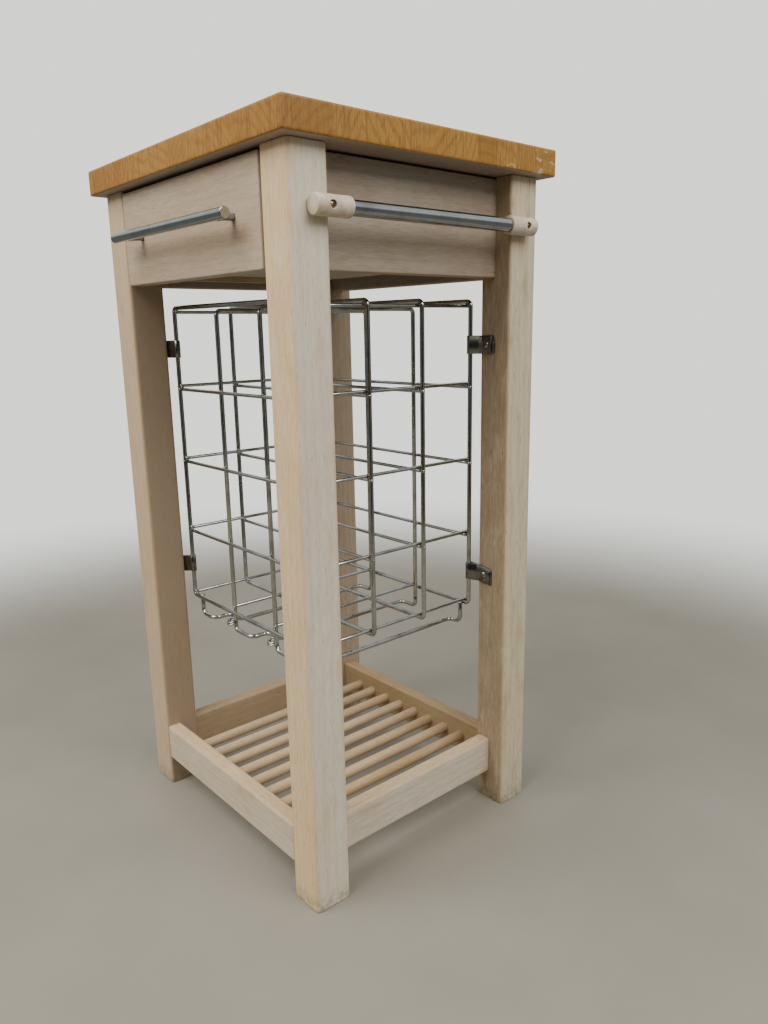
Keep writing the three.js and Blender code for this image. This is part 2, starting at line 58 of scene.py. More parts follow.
# -------- sizes that the frame doesn't hold
LEG_EDGE = 4.5 * MM  # round edges of the legs
LEG_EASE = 1.2 * MM
RAIL_EDGE = 4.0 * MM
RAIL_EASE = 1.0 * MM
APRON_EDGE = 2.2 * MM
APRON_EASE = 0.8 * MM
FRONT_EDGE = 2.5 * MM  # drawer front
TOP_EDGE = 3.0 * MM
LEAST_CORNER = 0.6 * MM  # what the ease leaves of a corner's radius at a board's ends
EDGE_STEPS = 7
FLAT_GUARD = 1.2 * MM  # the narrow strip beside each round edge, which keeps the flats flat
DOWEL_BITE = 0.6 * MM  # how far a dowel's end sits in its rail
FRAME_BEND = 6.0 * MM  # corners of the rack's frames and dividers
LOWER_BEND = 9.0 * MM  # corners of the wires under the rack
WIRE_SIDES = 18
BEND_STEPS = 9
WIRE_END = 0.5 * MM  # how far inside its node a wire's domed end starts
SEAT_GAP = 0.3 * MM  # between pieces that touch


# -------- reading the frame
def span(node):
    """The lowest and highest corner of a frame node, as arrays."""
    low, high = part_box(node)
    return np.array(low), np.array(high)


def centre_of(node):
    """The middle of a frame node's box."""
    low, high = span(node)
    return (low + high) / 2


def other_axes(along):
    """The two axes across a given one."""
    return [axis for axis in (X, Y, Z) if axis != along]


# -------- meshes
def unit(vectors):
    """Rows of vectors, each brought to length one."""
    return vectors / np.linalg.norm(vectors, axis=1, keepdims=True)


def grid_quads(rows, columns, close_rows=False, close_columns=False):
    """Quads between neighbouring points of a rows by columns grid; a closed side joins last to first."""
    row_count = rows if close_rows else rows - 1
    column_count = columns if close_columns else columns - 1
    r, c = np.meshgrid(np.arange(row_count), np.arange(column_count), indexing="ij")
    next_r = (r + 1) % rows
    next_c = (c + 1) % columns
    quads = [r * columns + c, r * columns + next_c, next_r * columns + next_c, next_r * columns + c]
    return np.stack(quads, axis=-1).reshape(-1, 4)


def tube_part(rings, close_along=False):
    """A skin over a stack of closed rings (stations, points, 3). Its open ends are closed by one flat
    face each, unless the last ring joins the first. All faces look outward."""
    stations, count = rings.shape[:2]
    faces = [tuple(int(i) for i in q) for q in grid_quads(stations, count, close_along, True)]
    if not close_along:
        faces.append(tuple(range(count - 1, -1, -1)))
        faces.append(tuple((stations - 1) * count + i for i in range(count)))
    points = rings.reshape(-1, 3)
    return points, outward(points, faces)


def joined(parts):
    """Several (points, faces) parts as one."""
    points, faces, start = [], [], 0
    for part_points, part_faces in parts:
        points.append(part_points)
        faces += [tuple(i + start for i in face) for face in part_faces]
        start += len(part_points)
    return np.concatenate(points), faces


def outward(points, faces):
    """The same faces, turned over if the solid's signed volume is negative."""
    corner = points[np.array([face[:3] for face in faces])]
    fans = [(face[0], face[i], face[i + 1]) for face in faces for i in range(1, len(face) - 1)]
    a, b, c = (points[np.array(fans)[:, i]] for i in range(3))
    volume = np.einsum("ij,ij->i", a, np.cross(b, c)).sum()
    return faces if volume > 0 else [face[::-1] for face in faces]


def put_in_scene(name, data):
    """A new object in the scene, at the origin."""
    thing = bpy.data.objects.new(name, data)
    bpy.context.scene.collection.objects.link(thing)
    return thing


def add_piece(name, part, finish, body=TABLE, nodes=(), wear=None):
    """Puts one mesh in the scene, riding on its body and standing for the frame nodes it replaces."""
    points, faces = part
    mesh = bpy.data.meshes.new(name)
    mesh.from_pydata(points.tolist(), [], faces)
    if wear is not None:
        attribute = mesh.attributes.new("edge_wear_and_dish_shade", "FLOAT", "POINT")
        attribute.data.foreach_set("value", wear.astype(np.float32).ravel())
    mesh.polygons.foreach_set("use_smooth", np.ones(len(mesh.polygons), bool))
    mesh.materials.append(finish)
    mesh.validate()
    piece = put_in_scene(name, mesh)
    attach(piece, body)
    if nodes:
        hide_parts(*nodes)


# -------- boards
def round_rectangle(half_u, half_v, radius, inset):
    """A closed ring round a rectangle with round corners, shrunk by inset. Each corner is a quarter
    circle, with one more point on the flat at each side of it. Returns the points and how far round
    the corner each is: 0 on the flats, 1 at the middle of the corner."""
    angle = np.linspace(0, math.pi / 2, EDGE_STEPS + 1)
    turn = np.arange(4)[:, None] * math.pi / 2 + angle
    signs = np.array([(1, 1), (-1, 1), (-1, -1), (1, -1)])
    middle = signs * np.array([half_u - radius, half_v - radius])
    out = np.stack([np.cos(turn), np.sin(turn)], axis=-1)
    tangent = np.stack([-np.sin(turn), np.cos(turn)], axis=-1)
    arc = middle[:, None, :] + (radius - inset) * out
    before = arc[:, :1] - FLAT_GUARD * tangent[:, :1]
    after = arc[:, -1:] + FLAT_GUARD * tangent[:, -1:]
    ring = np.concatenate([before, arc, after], axis=1).reshape(-1, 2)
    roundness = np.concatenate([[0], np.sin(2 * angle), [0]])
    return ring, np.tile(roundness, 4)


def eased_board(low, high, along, radius, ease):
    """A board between two corners. Its section, a round rectangle, is carried along the board; at each
    end it shrinks by a quarter circle of the ease, so the end's edge is rounded over."""
    u, v = other_axes(along)
    middle = (low + high) / 2
    half = (high - low) / 2
    turn = np.linspace(0, math.pi / 2, 5)
    inset = np.concatenate([[ease + 0.5 * MM], ease * (1 - np.sin(turn)), [0, 0]])
    inner = max(ease + 2 * FLAT_GUARD, 0.12 * half[along])
    place = np.concatenate([[0], ease * (1 - np.cos(turn)), [ease + FLAT_GUARD, inner]])
    worn_end = np.concatenate([[0], np.sin(2 * turn), [0, 0]])
    stations = np.concatenate([place - half[along], half[along] - place[::-1]])
    insets = np.concatenate([inset, inset[::-1]])
    worn_ends = np.concatenate([worn_end, worn_end[::-1]])
    radius = max(radius, ease + LEAST_CORNER)
    rings, wear = [], []
    for station, shrink, worn in zip(stations, insets, worn_ends):
        ring, roundness = round_rectangle(half[u], half[v], radius, shrink)
        points = np.zeros((len(ring), 3))
        points[:, u] = middle[u] + ring[:, 0]
        points[:, v] = middle[v] + ring[:, 1]
        points[:, along] = middle[along] + station
        rings.append(points)
        wear.append(np.maximum(roundness, worn))
    return tube_part(np.array(rings)), np.array(wear).ravel()


def add_board(name, low, high, along, finish, radius, ease, body=TABLE, nodes=(), slot=None):
    """One eased board as a piece."""
    part, wear = eased_board(low, high, along, radius, ease)
    add_piece(name, part, finish, body, nodes, wear)


# -------- turned pieces
def turned(profile, start, along, sides=48):
    """A profile of (distance along, radius) points turned about an axis; its first and last rings are
    small and closed flat."""
    profile = np.array(profile)
    angle = np.linspace(0, 2 * math.pi, sides, endpoint=False)
    u, v = other_axes(along)
    rings = np.zeros((len(profile), sides, 3))
    rings[..., along] = start[along] + profile[:, :1]
    rings[..., u] = start[u] + profile[:, 1:] * np.cos(angle)
    rings[..., v] = start[v] + profile[:, 1:] * np.sin(angle)
    return tube_part(rings)


def bar_profile(length, radius, ease):
    """A plain round bar's profile with both ends rounded over by the ease."""
    turn = np.linspace(0, math.pi / 2, 6)
    end = np.stack([ease * (1 - np.cos(turn)), radius - ease + ease * np.sin(turn)], axis=1)
    flat = np.array([[0, 0.15 * MM], [0, radius - ease - 0.25 * MM]])
    guard = np.array([[ease + FLAT_GUARD, radius]])
    head = np.concatenate([flat, end, guard])
    tail = head[::-1] * np.array([-1, 1]) + np.array([length, 0])
    return np.concatenate([head, tail])


# -------- wire
def bent_line(corners, bend, closed=False):
    """A wire's centre line: straight runs joined by quarter circles of the bend radius."""
    corners = np.array(corners, float)
    count = len(corners)
    line = []
    for i, corner in enumerate(corners):
        if not closed and i in (0, count - 1):
            line.append(corner[None])
            continue
        back = corners[i - 1] - corner
        ahead = corners[(i + 1) % count] - corner
        reach = min(bend, np.linalg.norm(back) / 2.1, np.linalg.norm(ahead) / 2.1)
        first = corner + reach * back / np.linalg.norm(back)
        last = corner + reach * ahead / np.linalg.norm(ahead)
        hub = first + last - corner
        turn = np.linspace(0, math.pi / 2, BEND_STEPS + 1)[:, None]
        line.append(hub + np.cos(turn) * (first - hub) + np.sin(turn) * (last - hub))
    return np.concatenate(line)


def directions(line, closed=False):
    """The way a line runs at each of its points: halfway between the steps before and after it."""
    if closed:
        ahead = np.roll(line, -1, axis=0) - line
        behind = line - np.roll(line, 1, axis=0)
    else:
        step = np.diff(line, axis=0)
        ahead = np.concatenate([step, step[-1:]])
        behind = np.concatenate([step[:1], step])
    return unit(unit(ahead) + unit(behind))


def round_rings(line, along, reach, sides, reference):
    """A circle of radius reach round each point of a line, square to it. The circles start from the
    direction across both the line and the reference."""
    side = unit(np.cross(along, np.array(reference)))
    up = np.cross(side, along)
    angle = np.linspace(0, 2 * math.pi, sides, endpoint=False)[None, :, None]
    circle = np.cos(angle) * side[:, None] + np.sin(angle) * up[:, None]
    return line[:, None] + reach * circle


def wire_part(corners, radius, bend=FRAME_BEND, closed=False):
    """A round wire: a circle carried along its centre line, square to it. Open ends are domed."""
    line = bent_line(corners, bend, closed)
    along = directions(line, closed)
    reach = np.full(len(line), radius)
    if not closed:
        turn = np.linspace(math.pi / 2, 0.25, 4)
        cap = 0.5 * radius
        start = line[0] - along[0] * cap * np.cos(turn)[::-1][:, None]
        finish = line[-1] + along[-1] * cap * np.cos(turn)[:, None]
        line = np.concatenate([start[:-1], line, finish[1:]])
        along = np.concatenate([np.repeat(along[:1], 3, 0), along, np.repeat(along[-1:], 3, 0)])
        domed = radius * np.sin(turn)[1:]
        reach = np.concatenate([domed[::-1], reach, domed])
    rings = round_rings(line, along, reach[:, None, None], WIRE_SIDES, (1.0, 1.1, 0.9))
    return tube_part(rings, closed)


def ring_part(line, radius):
    """A round wire carried along a closed smooth line, its circle square to the line."""
    along = unit(np.roll(line, -1, axis=0) - np.roll(line, 1, axis=0))
    return tube_part(round_rings(line, along, radius, 12, (0.1, 1.0, 0.05)), True)


def bead_part(middle, size):
    """A weld bead: a sphere pulled out to a half-size along each axis."""
    rise = np.linspace(-math.pi / 2 + 0.18, math.pi / 2 - 0.18, 8)[:, None]
    angle = np.linspace(0, 2 * math.pi, 12, endpoint=False)[None]
    shape = [np.cos(rise) * np.cos(angle), np.cos(rise) * np.sin(angle), np.sin(rise) + 0 * angle]
    return tube_part(np.stack(shape, axis=-1) * size + middle)


# -------- finishes
class Finish:
    """One material under construction. Each method adds a node and returns what comes out of it."""

    def __init__(self, name):
        self.material = bpy.data.materials.new(name)
        self.material.use_nodes = True
        self.tree = self.material.node_tree
        self.shader = self.tree.nodes["Principled BSDF"]

    def add(self, kind, settings=(), **inputs):
        node = self.tree.nodes.new(kind)
        for key, value in dict(settings).items():
            setattr(node, key, value)
        for key, value in inputs.items():
            socket = node.inputs[int(key[1:])] if key[0] == "i" and key[1:].isdigit() else node.inputs[key]
            self.feed(socket, value)
        return node

    def feed(self, socket, value):
        if isinstance(value, bpy.types.NodeSocket):
            self.tree.links.new(value, socket)
        else:
            socket.default_value = value

    def place(self, shift=(0, 0, 0), scale=(1, 1, 1)):
        """Object coordinates, shifted and then stretched."""
        where = self.add("ShaderNodeTexCoord").outputs["Object"]
        moved = self.add("ShaderNodeVectorMath", {"operation": "ADD"}, i0=where, i1=shift)
        return self.stretch(moved.outputs[0], scale)

    def facing(self):
        """The way the surface looks, in the piece's own directions."""
        return self.add("ShaderNodeTexCoord").outputs["Normal"]

    def wear(self):
        """How worn or how sunk each point is, from 0 to 1, as its mesh says. On the holders the sunk share
        darkens the dish as painted shade.
        """
        return self.add("ShaderNodeAttribute", {"attribute_name": "edge_wear_and_dish_shade"}).outputs["Fac"]

    def parts(self, vector):
        """A vector's X, Y and Z."""
        return self.add("ShaderNodeSeparateXYZ", i0=vector).outputs

    def scaled_sum(self, first, scale, second):
        """The first vector times a scale, plus the second."""
        operation = {"operation": "MULTIPLY_ADD"}
        return self.add("ShaderNodeVectorMath", operation, i0=first, i1=scale, i2=second).outputs[0]

    def stretch(self, vector, scale):
        return self.add("ShaderNodeVectorMath", {"operation": "MULTIPLY"}, i0=vector, i1=scale).outputs[0]

    def noise(self, vector, scale, detail=2.0, rough=0.5, warp=0.0):
        look = {"Scale": scale, "Detail": detail, "Roughness": rough, "Distortion": warp}
        return self.add("ShaderNodeTexNoise", Vector=vector, **look).outputs["Fac"]

    def math(self, operation, a, b=0.0):
        return self.add("ShaderNodeMath", {"operation": operation}, i0=a, i1=b).outputs[0]

    def band(self, value, low, high, out_low=0.0, out_high=1.0):
        """The value, smoothly carried from low..high to out_low..out_high, and held beyond."""
        node = self.add(
            "ShaderNodeMapRange",
            {"interpolation_type": "SMOOTHSTEP"},
            Value=value,
            **{"From Min": low, "From Max": high, "To Min": out_low, "To Max": out_high},
        )
        return node.outputs["Result"]

    def mix(self, share, first, second):
        node = self.add("ShaderNodeMix", {"data_type": "RGBA", "blend_type": "MIX"})
        self.feed(node.inputs[0], share)
        self.feed(node.inputs[6], first if isinstance(first, bpy.types.NodeSocket) else (*first, 1))
        self.feed(node.inputs[7], second if isinstance(second, bpy.types.NodeSocket) else (*second, 1))
        return node.outputs[2]

    def bump(self, height, depth, strength):
        node = self.add("ShaderNodeBump", Height=height, Strength=strength, Distance=depth)
        self.feed(self.shader.inputs["Normal"], node.outputs[0])

    def done(self, colour, roughness, metallic=0.0, **sockets):
        self.feed(self.shader.inputs["Base Color"], colour)
        self.feed(self.shader.inputs["Roughness"], roughness)
        self.shader.inputs["Metallic"].default_value = metallic
        for key, value in sockets.items():
            self.shader.inputs[key.replace("_", " ")].default_value = value
        return self.material


BARE_WOOD = (0.50, 0.33, 0.17)
RIGHT = (1, 0, 0)
LEFT = (-1, 0, 0)
FRONT = (0, -1, 0)
BACK = (0, 1, 0)
UP = (0, 0, 1)


def grain_scale(along, lengthwise):
    """A stretch that makes a pattern long along the grain."""
    return tuple(lengthwise if axis == along else 1.0 for axis in (X, Y, Z))


def shade(colour, share):
    """A colour at a share of its brightness, never over white."""
    return tuple(min(1.0, share * part) for part in colour)


def limed_wood(name, along, tan, pale, shift, tan_painted_light_faces=(), pale_painted_light_faces=(), flecks=0.5, edge=0.35, feet=False):
    """Pale wood rubbed with white lime and worn. From the ground up: a tone that drifts between tan
    and pale in long clouds; warm and limed patches; growth rings as a sine of the distance from a
    heart line beside the board; fine fibres, a noise stretched along the grain; short dark flecks;
    and warm bare wood where the edges are worn round. Faces that look along the given directions
    take the tan or the pale tone: painted light and shade, one side of the board lit brighter or
    shaded darker than another. Feet are grimy just above the floor."""
    f = Finish(name)
    where = f.place(shift, grain_scale(along, 0.07))
    clouds = f.noise(f.place(shift, grain_scale(along, 0.3)), 9.0, 3.0, 0.55)
    wobble = f.noise(where, 22.0, 2.0, 0.5)
    u, v = other_axes(along)
    parts = f.parts(where)
    from_heart_u = f.math("ADD", parts[u], 0.11)
    from_heart_v = f.math("ADD", parts[v], 0.06)
    square_u = f.math("MULTIPLY", from_heart_u, from_heart_u)
    square_v = f.math("MULTIPLY", from_heart_v, from_heart_v)
    radius = f.math("SQRT", f.math("ADD", square_u, square_v))
    distance = f.math("ADD", radius, f.math("MULTIPLY", wobble, 0.028))
    rings = f.math("SINE", f.math("MULTIPLY", distance, 900.0))
    fibre = f.noise(f.place(shift, grain_scale(along, 0.05)), 1300.0, 2.0, 0.6)
    streak = f.noise(f.place(shift, grain_scale(along, 0.09)), 210.0, 4.0, 0.65)
    fleck = f.noise(f.place(shift, grain_scale(along, 0.12)), 620.0, 1.0, 0.4)
    mottle = f.noise(f.place(shift, grain_scale(along, 0.35)), 48.0, 4.0, 0.6)

    tone = f.mix(f.band(clouds, 0.34, 0.68), tan, pale)
    # Painted light and shade: faces turned one way take the tan tone, faces turned another the pale.
    facing = f.facing()
    for faces, colour in ((tan_painted_light_faces, tan), (pale_painted_light_faces, pale)):
        for direction in faces:
            dot = f.add("ShaderNodeVectorMath", {"operation": "DOT_PRODUCT"}, i0=facing, i1=direction)
            tone = f.mix(f.band(dot.outputs["Value"], 0.45, 0.92, 0.0, 0.88), tone, colour)
    dark = shade(tan, 0.70)
    warm = (0.86 * tan[0], 0.76 * tan[1], 0.62 * tan[2])
    tone = f.mix(f.band(mottle, 0.5, 0.72, 0.0, 0.42), tone, warm)
    tone = f.mix(f.band(mottle, 0.46, 0.3, 0.0, 0.3), tone, shade(pale, 1.12))
    tone = f.mix(f.band(rings, -0.2, 1.0, 0.0, 0.14), tone, dark)
    tone = f.mix(f.band(streak, 0.45, 0.8, 0.0, 0.34), tone, dark)
    tone = f.mix(f.band(fibre, 0.45, 0.75, 0.0, 0.32), tone, shade(tan, 0.56))
    tone = f.mix(f.band(fibre, 0.5, 0.28, 0.0, 0.35), tone, shade(pale, 1.16))
    tone = f.mix(f.band(fleck, 0.68, 0.76, 0.0, flecks), tone, shade(tan, 0.42))
    worn = f.wear()
    patchy = f.band(f.noise(f.place(shift), 30.0, 3.0, 0.6), 0.3, 0.62, 0.35, 1.0)
    share = f.math("MULTIPLY", f.math("MULTIPLY", worn, patchy), edge)
    tone = f.mix(share, tone, BARE_WOOD)
    if feet:
        height = f.parts(f.place())[Z]
        grime = f.noise(f.place(shift), 120.0, 3.0, 0.6)
        near_floor = f.band(height, 0.0, 0.028, 0.6, 0.0)
        tone = f.mix(f.math("MULTIPLY", near_floor, f.band(grime, 0.3, 0.65)), tone, (0.16, 0.125, 0.09))
    height = f.math("ADD", f.math("MULTIPLY", fibre, 0.6), f.math("MULTIPLY", rings, 0.12))
    f.bump(height, 0.12 * MM, 0.6)
    return f.done(tone, f.band(streak, 0.3, 0.8, 0.5, 0.68), Specular_IOR_Level=0.35)


def butcher_block_finish():
    """End-grain block: square blocks of wood, their fibres standing up, glued in courses that are
    shifted by half a block. Each block has its own tone and its own heart; rings are a sine of the
    distance from it, in which height counts for a third, so the sides show upright lines that arch."""
    f = Finish("oiled_end_grain")
    block = 0.043
    course_depth = 0.0333
    where = f.add("ShaderNodeTexCoord").outputs["Object"]
    parts = f.parts(where)
    courses = f.math("DIVIDE", parts[Y], course_depth)
    course = f.math("FLOOR", courses)
    odd = f.math("PINGPONG", course, 1.0)
    slide = f.math("ADD", f.math("DIVIDE", parts[X], block), f.math("MULTIPLY", odd, 0.5))
    column = f.math("FLOOR", slide)
    cell = f.add("ShaderNodeCombineXYZ", i0=column, i1=course, i2=0.0).outputs[0]
    chance = f.add("ShaderNodeTexWhiteNoise", {"noise_dimensions": "3D"}, Vector=cell)
    own = chance.outputs["Color"]
    own_tone = chance.outputs["Value"]

    shift = f.scaled_sum(own, (2.0, 2.0, 2.0), where)
    upright = f.stretch(shift, (1.0, 1.0, 0.16))
    wobble = f.noise(upright, 22.0, 3.0, 0.5, 0.3)
    half = (0.5, 0.5, 0.5)
    centred = f.add("ShaderNodeVectorMath", {"operation": "SUBTRACT"}, i0=own, i1=half).outputs[0]
    heart = f.scaled_sum(centred, (0.5, 0.5, 0.0), where)
    flat = f.stretch(heart, (1.0, 1.0, 0.30))
    distance = f.add("ShaderNodeVectorMath", {"operation": "LENGTH"}, i0=flat).outputs["Value"]
    distance = f.math("ADD", distance, f.math("MULTIPLY", wobble, 0.009))
    rings = f.math("SINE", f.math("MULTIPLY", distance, 1700.0))
    fibre = f.noise(f.stretch(shift, (1.0, 1.0, 0.03)), 1500.0, 2.0, 0.6)
    streak = f.noise(f.stretch(shift, (1.0, 1.0, 0.04)), 330.0, 3.0, 0.6)
    pore = f.noise(f.stretch(shift, (1.0, 1.0, 0.13)), 1150.0, 1.0, 0.4)

    honey = (0.315, 0.15, 0.017)
    straw = (0.43, 0.225, 0.036)
    amber = (0.20, 0.07, 0.006)
    umber = (0.10, 0.034, 0.005)
    tone = f.mix(own_tone, honey, straw)
    tone = f.mix(f.band(own_tone, 0.72, 0.95, 0.0, 0.5), tone, (0.27, 0.10, 0.011))
    tone = f.mix(f.band(rings, 0.0, 1.0, 0.0, 0.36), tone, amber)
    tone = f.mix(f.band(streak, 0.46, 0.72, 0.0, 0.65), tone, amber)
    tone = f.mix(f.band(fibre, 0.48, 0.72, 0.0, 0.6), tone, umber)
    tone = f.mix(f.band(pore, 0.6, 0.7, 0.0, 0.55), tone, umber)
    clouds = f.noise(where, 11.0, 2.0, 0.5)
    tone = f.mix(f.band(clouds, 0.4, 0.7, 0.0, 0.25), tone, (0.34, 0.19, 0.05))

    # Glue lines between the blocks, only just darker.
    across = f.math("ABSOLUTE", f.math("SUBTRACT", f.math("FRACT", slide), 0.5))
    down = f.math("ABSOLUTE", f.math("SUBTRACT", f.math("FRACT", courses), 0.5))
    line = f.math("MAXIMUM", f.band(across, 0.488, 0.497), f.band(down, 0.486, 0.496))
    tone = f.mix(f.math("MULTIPLY", line, 0.32), tone, (0.26, 0.12, 0.04))

    # The underside is bare and grey.
    look = f.parts(f.facing())[Z]
    tone = f.mix(f.band(look, -0.75, -0.95, 0.0, 0.86), tone, (0.36, 0.315, 0.26))

    # Dry white scuffs low on the right edge, and handling wear on the arris.
    low, high = span("block_top")
    scuff = f.noise(f.place((0.3, 0.1, 0.7), (1.0, 1.0, 2.2)), 55.0, 4.0, 0.7)
    near_back = f.band(parts[Y], low[Y] + 0.25, high[Y] - 0.01)
    on_right = f.band(parts[X], high[X] - 0.004, high[X] - 0.001)
    share = f.math("MULTIPLY", f.math("MULTIPLY", near_back, on_right), f.band(scuff, 0.56, 0.66, 0.0, 0.55))
    tone = f.mix(share, tone, (0.72, 0.62, 0.48))
    worn = f.wear()
    tone = f.mix(f.math("MULTIPLY", worn, 0.22), tone, (0.24, 0.12, 0.04))
    height = f.math("ADD", f.math("MULTIPLY", fibre, 0.7), f.math("MULTIPLY", line, -0.6))
    f.bump(height, 0.12 * MM, 0.6)
    return f.done(tone, f.band(streak, 0.3, 0.8, 0.38, 0.55), Specular_IOR_Level=0.4)


def plated(name, colour, dull, low_rough, high_rough, pits=0.0):
    """Bright plating: the metal's own colour, clouded by thin smears, with fine dull spots, and a
    roughness that follows both."""
    f = Finish(name)
    smear = f.noise(f.place(), 38.0, 4.0, 0.6)
    spot = f.noise(f.place((0.4, 0.2, 0.1)), 900.0, 2.0, 0.5)
    tone = f.mix(f.band(smear, 0.4, 0.75, 0.0, 0.7), colour, dull)
    tone = f.mix(f.band(spot, 0.66, 0.74, 0.0, pits), tone, shade(dull, 0.4))
    rough = f.band(f.math("ADD", smear, f.math("MULTIPLY", spot, 0.3)), 0.4, 0.95, low_rough, high_rough)
    f.bump(smear, 0.05 * MM, 0.25)
    return f.done(tone, rough, 1.0)


def holder_finish(seed):
    """Pale painted round wood: white lime over straight grain, rubbed thin in patches, and painted shade
    darkening the screw's dish."""
    f = Finish(f"holder_wood_{seed}")
    shift = (0.2 * seed, 0.07, 0.3 * seed)
    fibre = f.noise(f.place(shift, grain_scale(Y, 0.05)), 900.0, 2.0, 0.6)
    patch = f.noise(f.place(shift), 90.0, 3.0, 0.6)
    scuff = f.noise(f.place(shift), 320.0, 2.0, 0.5)
    tone = f.mix(f.band(patch, 0.35, 0.7), (0.54, 0.455, 0.33), (0.65, 0.575, 0.44))
    tone = f.mix(f.band(fibre, 0.48, 0.75, 0.0, 0.55), tone, (0.38, 0.29, 0.19))
    tone = f.mix(f.band(scuff, 0.6, 0.72, 0.0, 0.5), tone, (0.30, 0.23, 0.15))
    # Painted shade: the screw's dish darkened nearly to black.
    dish = f.wear()
    tone = f.mix(f.band(dish, 0.05, 0.7, 0.0, 0.9), tone, (0.075, 0.05, 0.03))
    f.bump(fibre, 0.1 * MM, 0.5)
    return f.done(tone, f.band(patch, 0.3, 0.7, 0.42, 0.6), Specular_IOR_Level=0.4)


def screw_finish(name, bright, grimy):
    """Screw heads, grimy in patches."""
    f = Finish(name)
    grime = f.noise(f.place(), 500.0, 3.0, 0.6)
    tone = f.mix(f.band(grime, 0.4, 0.7), bright, grimy)
    return f.done(tone, f.band(grime, 0.3, 0.7, 0.18, 0.4), 1.0)


FRONT_TAN = (0.425, 0.325, 0.23)
FRONT_PALE = (0.485, 0.41, 0.32)
APRON_TAN = (0.33, 0.25, 0.18)
APRON_PALE = (0.39, 0.325, 0.25)
DOWEL_WARM = (0.35, 0.23, 0.105)
DOWEL_TAN = (0.48, 0.34, 0.19)
DOWEL_PALE = (0.50, 0.385, 0.245)
# Each leg's tan, for its front face, and pale, for its side faces: painted light and shade, brighter on the
# legs and faces turned to the lamps and darker on those turned away.
LEG_TONES_LIT_AND_SHADED = {
    "leg_front_left": ((0.57, 0.43, 0.27), (0.345, 0.262, 0.18)),
    "leg_front_right": ((0.73, 0.525, 0.285), (0.67, 0.615, 0.505)),
    "leg_back_left": ((0.36, 0.25, 0.155), (0.42, 0.33, 0.235)),
    "leg_back_right": ((0.37, 0.275, 0.17), (0.62, 0.525, 0.365)),
}

chrome = plated("handle_chrome", (0.37, 0.40, 0.415), (0.21, 0.23, 0.24), 0.03, 0.13)
wire_chrome = plated("rack_wire_chrome", (0.44, 0.445, 0.435), (0.19, 0.19, 0.18), 0.05, 0.19, 0.6)
zinc = plated("clip_zinc", (0.21, 0.205, 0.19), (0.10, 0.095, 0.085), 0.16, 0.36, 0.7)
brass = screw_finish("aged_brass_screw", (0.46, 0.30, 0.13), (0.16, 0.10, 0.05))
dark_zinc = screw_finish("dark_zinc_screw", (0.42, 0.37, 0.31), (0.15, 0.12, 0.09))


def shift_for(index):
    """A place in the endless wood for one board, far from its neighbours'."""
    return tuple(float(v) for v in random_tones.uniform(0.5, 6.0, 3) + index)


# -------- camera, light and floor
CAMERA_PLACE = (0.85435, -0.62625, 0.6622)
CAMERA_TURN = (math.radians(49.11), math.radians(13.10), -0.018)  # yaw, pitch and roll
CAMERA_LENS = 27.58
CAMERA_FILM = 36.0


def set_camera():
    """The camera stands off the right front corner, lower than the top, and looks a little down."""
    camera = put_in_scene("camera", bpy.data.cameras.new("camera"))
    yaw, pitch, roll = CAMERA_TURN
    ahead = Vector((-math.sin(yaw) * math.cos(pitch), math.cos(yaw) * math.cos(pitch), -math.sin(pitch)))
    level = Vector((math.cos(yaw), math.sin(yaw), 0))
    lift = level.cross(ahead)
    right = level * math.cos(roll) + lift * math.sin(roll)
    up = lift * math.cos(roll) - level * math.sin(roll)
    turn = Matrix((right, up, -ahead)).transposed().to_4x4()
    camera.matrix_world = Matrix.Translation(CAMERA_PLACE) @ turn
    camera.data.lens = CAMERA_LENS
    camera.data.sensor_width = CAMERA_FILM
    camera.data.clip_start = 0.02
    bpy.context.scene.camera = camera


def add_softbox(name, place, target, size, power, colour):
    """A large soft light that faces a point."""
    light = bpy.data.lights.new(name, "AREA")
    light.shape = "RECTANGLE"
    light.size, light.size_y = size
    light.energy = power
    light.color = colour
    lamp = put_in_scene(name, light)
    lamp.location = place
    lamp.rotation_euler = (Vector(target) - Vector(place)).to_track_quat("-Z", "Y").to_euler()


def add_flag(name, place, width, height):
    """A black card that stands facing the table, out of the camera's sight. It gives the bright
    metal something dark to reflect, and keeps light from going in under the top."""
    out = Vector((place[0], place[1], 0)).normalized()
    side = Vector((-out.y, out.x, 0)) * width / 2
    rise = Vector((0, 0, height / 2))
    middle = Vector(place)
    corners = [middle - side - rise, middle + side - rise, middle + side + rise, middle - side + rise]
    mesh = bpy.data.meshes.new(name)
    mesh.from_pydata([tuple(corner) for corner in corners], [], [(0, 1, 2, 3)])
    card = put_in_scene(name, mesh)
    card.visible_camera = False
    f = Finish(f"{name}_cloth")
    weave = f.noise(f.place(), 60.0)
    mesh.materials.append(f.done(f.mix(weave, (0.012, 0.012, 0.012), (0.02, 0.02, 0.02)), 0.9))


BACKDROP = (0.80, 0.81, 0.775)
BACKDROP_GLOW = 1.75
FILL = 0.78  # the surround's strength as a light
# The sine of the height looked at, from and to, and the share of the light there, from and to.
NEAR_HORIZON = (0.06, 0.34, 0.32, 1.35)
OVERHEAD = (0.55, 0.9, 1.0, 0.6)


